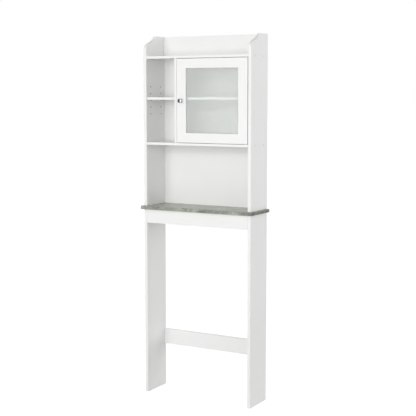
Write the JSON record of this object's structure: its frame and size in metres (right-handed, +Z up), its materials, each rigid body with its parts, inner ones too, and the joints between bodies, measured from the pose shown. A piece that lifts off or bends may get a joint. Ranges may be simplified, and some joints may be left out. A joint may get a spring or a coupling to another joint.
{
  "type": "over-the-toilet storage rack",
  "caption": "Tall narrow white bathroom rack on two leg panels: stone-look counter, open compartment, cubbies and a cupboard with a frosted glass door.",
  "frame": {"origin": "on the floor, at the middle of the whole rack's width and depth, door knob included", "axes": "+Z up, -Y towards the front (door side), +Y towards the wall, +X to the right seen from the front"},
  "size_m": [0.595, 0.1872, 1.714],
  "materials": {
    "white_paint": "satin white paint on fibreboard",
    "back_hardboard": "white faced hardboard",
    "countertop_stone": "grey-green stone-look laminate, satin",
    "frosted_glass": "frosted",
    "knob_chrome": "polished",
    "zinc_fittings": "zinc plated",
    "steel_fittings": "bright steel",
    "nylon": "natural white nylon",
    "glazing_vinyl": "soft white vinyl",
    "catch_plastic": "moulded white plastic",
    "beech_dowel": "bare beech"
  },
  "bodies": {
    "root": {"apron": "white_paint", "apron_dowel_left": "beech_dowel", "apron_dowel_right": "beech_dowel", "back_panel": "back_hardboard", "cam_bolt_crossbar_left": "steel_fittings", "cam_bolt_crossbar_right": "steel_fittings", "cam_bolt_middle_shelf_left": "steel_fittings", "cam_bolt_middle_shelf_right": "steel_fittings", "cam_bolt_top_shelf_left": "steel_fittings", "cam_bolt_top_shelf_right": "steel_fittings", "cam_disc_crossbar_left": "zinc_fittings", "cam_disc_crossbar_right": "zinc_fittings", "cam_disc_middle_shelf_left": "zinc_fittings", "cam_disc_middle_shelf_right": "zinc_fittings", "cam_disc_top_shelf_left": "zinc_fittings", "cam_disc_top_shelf_right": "zinc_fittings", "catch_screw_lower": "zinc_fittings", "catch_screw_upper": "zinc_fittings", "countertop": "countertop_stone", "countertop_dowel_left_front": "beech_dowel", "countertop_dowel_left_rear": "beech_dowel", "countertop_dowel_right_front": "beech_dowel", "countertop_dowel_right_rear": "beech_dowel", "crossbar": "white_paint", "divider": "white_paint", "glide_left_front": "nylon", "glide_left_rear": "nylon", "glide_right_front": "nylon", "glide_right_rear": "nylon", "guard_board": "white_paint", "guard_dowel_left": "beech_dowel", "guard_dowel_right": "beech_dowel", "hinge_bush_bottom": "nylon", "hinge_bush_top": "nylon", "leg_panel_left": "white_paint", "leg_panel_right": "white_paint", "magnetic_catch": "catch_plastic", "middle_shelf": "white_paint", "shelf_pin_left_inner_front": "zinc_fittings", "shelf_pin_left_inner_rear": "zinc_fittings", "shelf_pin_left_outer_front": "zinc_fittings", "shelf_pin_left_outer_rear": "zinc_fittings", "shelf_pin_right_inner_front": "zinc_fittings", "shelf_pin_right_inner_rear": "zinc_fittings", "shelf_pin_right_outer_front": "zinc_fittings", "shelf_pin_right_outer_rear": "zinc_fittings", "side_panel_left": "white_paint", "side_panel_right": "white_paint", "top_shelf": "white_paint"},
    "door": {"door_frame": "white_paint", "door_knob": "knob_chrome", "glass_pane": "frosted_glass", "glazing_frame": "glazing_vinyl", "hinge_pin_bottom": "steel_fittings", "hinge_pin_top": "steel_fittings", "knob_screw": "zinc_fittings", "strike_plate": "steel_fittings", "strike_screw": "zinc_fittings"},
    "left_shelf": {"shelf_left": "white_paint"},
    "right_shelf": {"shelf_right": "white_paint"}
  },
  "joints": [
    {"name": "door_hinge", "type": "hinge", "parent": "root", "child": "door", "pos_m": [0.2567, -0.06635, 1.41], "axis": [0, 0, 1], "range_deg": [0, 110]},
    {"name": "left_shelf_lift", "type": "slide", "parent": "root", "child": "left_shelf", "axis": [0, 0, 1], "range_m": [0, 0.03]},
    {"name": "right_shelf_lift", "type": "slide", "parent": "root", "child": "right_shelf", "axis": [0, 0, 1], "range_m": [0, 0.03]}
  ]
}
